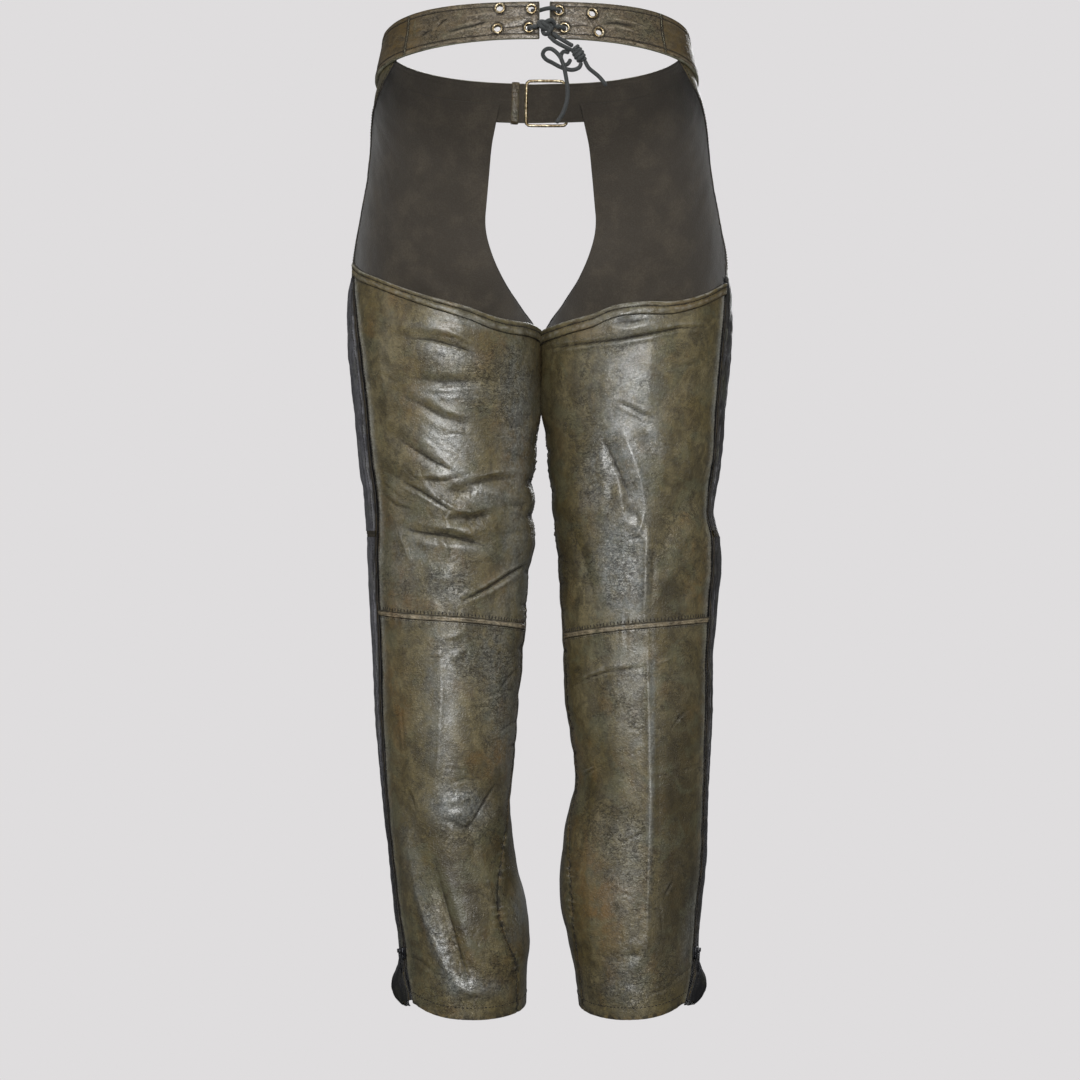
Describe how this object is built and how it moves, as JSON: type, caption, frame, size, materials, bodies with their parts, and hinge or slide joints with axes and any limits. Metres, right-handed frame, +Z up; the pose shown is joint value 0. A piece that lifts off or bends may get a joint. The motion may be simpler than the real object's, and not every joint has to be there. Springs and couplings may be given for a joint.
{
  "type": "leather chaps",
  "caption": "Full-length leather chaps kept in their worn shape: laced and buckled belt, open seat and front, two hollow zip-sided legs with knee seams.",
  "frame": {"origin": "centre of the waist at the height of the laced belt ends, where the wearer holds the garment up", "axes": "+Z up the body, +Y out of the garment's front, +X towards the wearer's right leg"},
  "size_m": [0.3882, 0.246, 0.9916],
  "materials": {
    "panel_leather": "distressed olive-brown leather, semi-gloss, rubbed paler on its folds and edges",
    "belt_leather": "golden-brown distressed leather, wrinkled, two layers with topstitching",
    "strip_leather": "charcoal leather beside the zips",
    "zip_tape": "black woven zip tape",
    "lace_cord": "charcoal round lace",
    "antique_brass": "antiqued brass, darkened in its hollows",
    "gunmetal": "dark grey metal, slightly worn"
  },
  "bodies": {
    "garment": {"back_calf_left": "panel_leather", "back_calf_right": "panel_leather", "back_knee_welt_left": "panel_leather", "back_knee_welt_right": "panel_leather", "back_thigh_left": "panel_leather", "back_thigh_right": "panel_leather", "belt_back_left": "belt_leather", "belt_back_right": "belt_leather", "belt_front_left": "belt_leather", "belt_front_right": "belt_leather", "belt_keeper": "belt_leather", "buckle_frame": "antique_brass", "buckle_prong": "antique_brass", "eyelet_left_inner_low": "antique_brass", "eyelet_left_inner_top": "antique_brass", "eyelet_left_outer_low": "antique_brass", "eyelet_left_outer_top": "antique_brass", "eyelet_right_inner_low": "antique_brass", "eyelet_right_inner_top": "antique_brass", "eyelet_right_outer_low": "antique_brass", "eyelet_right_outer_top": "antique_brass", "front_knee_welt_left": "panel_leather", "front_knee_welt_right": "panel_leather", "front_shin_left": "panel_leather", "front_shin_right": "panel_leather", "front_thigh_left": "panel_leather", "front_thigh_right": "panel_leather", "lace_cross_low_left": "lace_cord", "lace_cross_low_right": "lace_cord", "lace_cross_top": "lace_cord", "lace_knot_main": "lace_cord", "lace_knot_second": "lace_cord", "lace_long_tail": "lace_cord", "lace_ring_loop": "lace_cord", "lace_short_tail": "lace_cord", "lace_stem_lower": "lace_cord", "lace_stem_upper": "lace_cord", "side_strip_lower_left": "strip_leather", "side_strip_lower_right": "strip_leather", "side_strip_upper_left": "strip_leather", "side_strip_upper_right": "strip_leather", "top_band_left": "panel_leather", "top_band_right": "panel_leather", "zip_slider_left": "gunmetal", "zip_slider_right": "gunmetal", "zip_tape_back_left": "zip_tape", "zip_tape_back_right": "zip_tape", "zip_tape_front_left": "zip_tape", "zip_tape_front_right": "zip_tape"},
    "left_pull": {"pull_tab_left": "gunmetal"},
    "right_pull": {"pull_tab_right": "gunmetal"}
  },
  "joints": [
    {"name": "left_pull_swing", "type": "hinge", "parent": "garment", "child": "left_pull", "pos_m": [-0.14245, -0.03707, -0.91305], "axis": [-0.3166, 0.9452, -0.0803], "range_deg": [0, 150]},
    {"name": "right_pull_swing", "type": "hinge", "parent": "garment", "child": "right_pull", "pos_m": [0.15885, -0.03426, -0.91273], "axis": [-0.287, -0.9566, 0.0512], "range_deg": [0, 150]}
  ]
}
